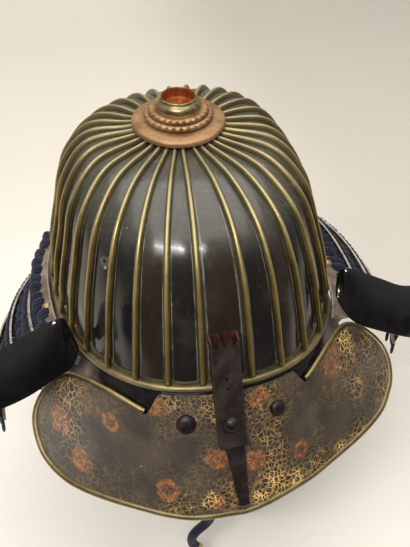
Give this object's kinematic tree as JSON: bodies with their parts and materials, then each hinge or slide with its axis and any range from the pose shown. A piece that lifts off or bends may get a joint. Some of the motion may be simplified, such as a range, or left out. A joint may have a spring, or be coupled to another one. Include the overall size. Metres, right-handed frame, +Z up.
{
  "type": "kabuto samurai helmet",
  "caption": "Ribbed samurai helmet with a leather faced peak, a crest holder, turned-back black plates, a laced neck guard and a navy chin cord.",
  "frame": {"origin": "the middle of the bowl's rim plane, where the helmet sits on a head", "axes": "+Z points up through the crown, -Y is the front with the peak, +X is the wearer's left"},
  "size_m": [0.3722, 0.3705, 0.3852],
  "materials": {
    "lacquer": "black lacquer on iron, worn",
    "brass": "dull gilt brass",
    "copper": "worn copper gilt",
    "russet_iron": "russet iron",
    "printed_leather": "printed leather, rubbed",
    "brown_lacquer": "brown lacquer",
    "silk": "navy silk braid",
    "gilt": "gilt"
  },
  "bodies": {
    "root": {"bowl_front": "lacquer", "bowl_back": "lacquer", "rib_01": "brass", "rib_02": "brass", "rib_03": "brass", "rib_04": "brass", "rib_05": "brass", "rib_06": "brass", "rib_07": "brass", "rib_08": "brass", "rib_09": "brass", "rib_10": "brass", "rib_11": "brass", "rib_12": "brass", "rib_13": "brass", "rib_14": "brass", "rib_15": "brass", "rib_16": "brass", "rib_17": "brass", "rib_18": "brass", "rib_19": "brass", "rib_20": "brass", "rib_21": "brass", "rib_22": "brass", "rib_23": "brass", "rib_24": "brass", "rib_25": "brass", "rib_26": "brass", "rib_27": "brass", "rib_28": "brass", "rib_29": "brass", "rib_30": "brass", "rib_31": "brass", "rib_32": "brass", "border_strip": "brass", "rim_edge": "brass", "peak_edge": "brass", "crown_collar": "brass", "crown_flange": "copper", "crown_bead_rings": "copper", "waist_band": "lacquer", "turnback_left": "lacquer", "turnback_right": "lacquer", "peak": "lacquer", "peak_leather": "printed_leather", "peak_rivet_right": "russet_iron", "peak_rivet_left": "russet_iron", "holder_rivet": "russet_iron", "crest_holder": "russet_iron", "neck_lame_1": "brown_lacquer", "neck_lame_2": "brown_lacquer", "neck_lame_3": "brown_lacquer", "neck_lame_4": "brown_lacquer", "lacing_1": "silk", "lacing_2": "silk", "lacing_3": "silk", "neck_stud_left": "gilt", "neck_stud_right": "gilt", "chin_cord": "silk", "chin_cord_end": "silk"}
  },
  "joints": []
}
